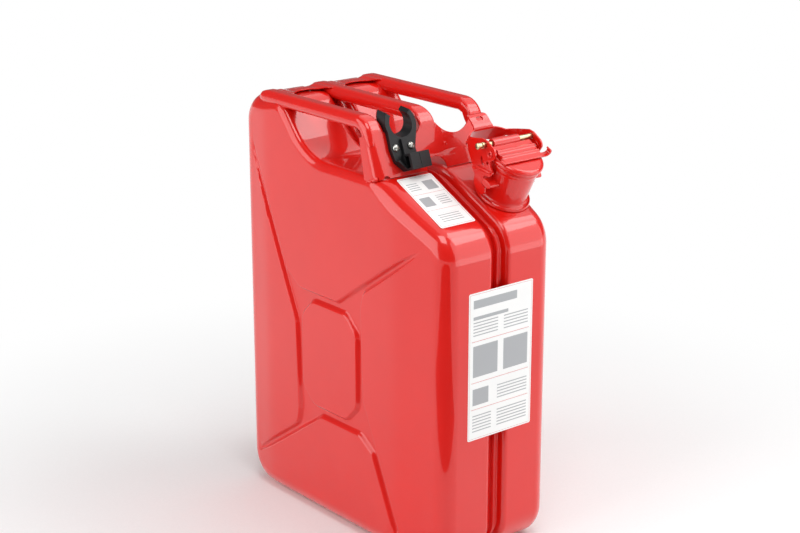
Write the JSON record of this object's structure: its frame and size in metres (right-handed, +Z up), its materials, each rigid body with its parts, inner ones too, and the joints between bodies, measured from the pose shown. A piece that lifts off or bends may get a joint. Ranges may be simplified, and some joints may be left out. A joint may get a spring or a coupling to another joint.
{
  "type": "jerry can",
  "caption": "Red steel jerry can with pressed sides, a three-bar handle, a hinged lid locked by a lever and pin, and a plastic spout clip.",
  "frame": {"origin": "middle of the overall box in plan, on the floor under the can", "axes": "+Z up through the handle, -Y to the front with the filler neck, +X to the can's right as the front is faced from behind"},
  "size_m": [0.165, 0.345, 0.4735],
  "materials": {
    "red_paint": "gloss red enamel on steel sheet",
    "zinc_steel": "bright zinc-plated steel",
    "yellow_zinc": "yellow-passivated zinc on steel",
    "rubber": "matte black fuel-proof rubber",
    "black_plastic": "satin moulded plastic",
    "white_vinyl": "satin vinyl sticker"
  },
  "bodies": {
    "can": {"left_half_shell": "red_paint", "right_half_shell": "red_paint", "handle_grip_left": "red_paint", "handle_grip_centre": "red_paint", "handle_grip_right": "red_paint", "handle_rear_plate": "red_paint", "handle_front_plate": "red_paint", "filler_neck": "red_paint", "neck_lug_left": "red_paint", "neck_lug_right": "red_paint", "hinge_bracket": "red_paint", "hinge_pin": "zinc_steel", "breather_pipe": "zinc_steel", "spout_clip": "black_plastic", "clip_screw_left": "zinc_steel", "clip_screw_right": "zinc_steel", "clip_nut_left": "zinc_steel", "clip_nut_right": "zinc_steel", "front_label": "white_vinyl", "shoulder_label": "white_vinyl"},
    "lid": {"lid_cap": "red_paint", "lid_gasket": "rubber", "lid_bridge": "red_paint", "lid_hinge_leaf": "red_paint"},
    "lever": {"locking_lever": "red_paint", "lever_rivet_left": "red_paint", "lever_rivet_right": "red_paint"},
    "pin": {"safety_pin": "yellow_zinc"}
  },
  "joints": [
    {"name": "lid_hinge", "type": "hinge", "parent": "can", "child": "lid", "pos_m": [0.045, -0.10642, 0.43211], "axis": [-1, 0, 0], "range_deg": [0, 60]},
    {"name": "lever_pivot", "type": "hinge", "parent": "lid", "child": "lever", "pos_m": [0.045, -0.13228, 0.44305], "axis": [1, 0, 0], "range_deg": [0, 102.5]},
    {"name": "pin_slide", "type": "slide", "parent": "lever", "child": "pin", "axis": [-1, 0, 0], "range_m": [0, 0.012]}
  ],
  "couplings": [
    {"joint": "lever_pivot", "follows": "lid_hinge", "ratio": 1.7}
  ]
}
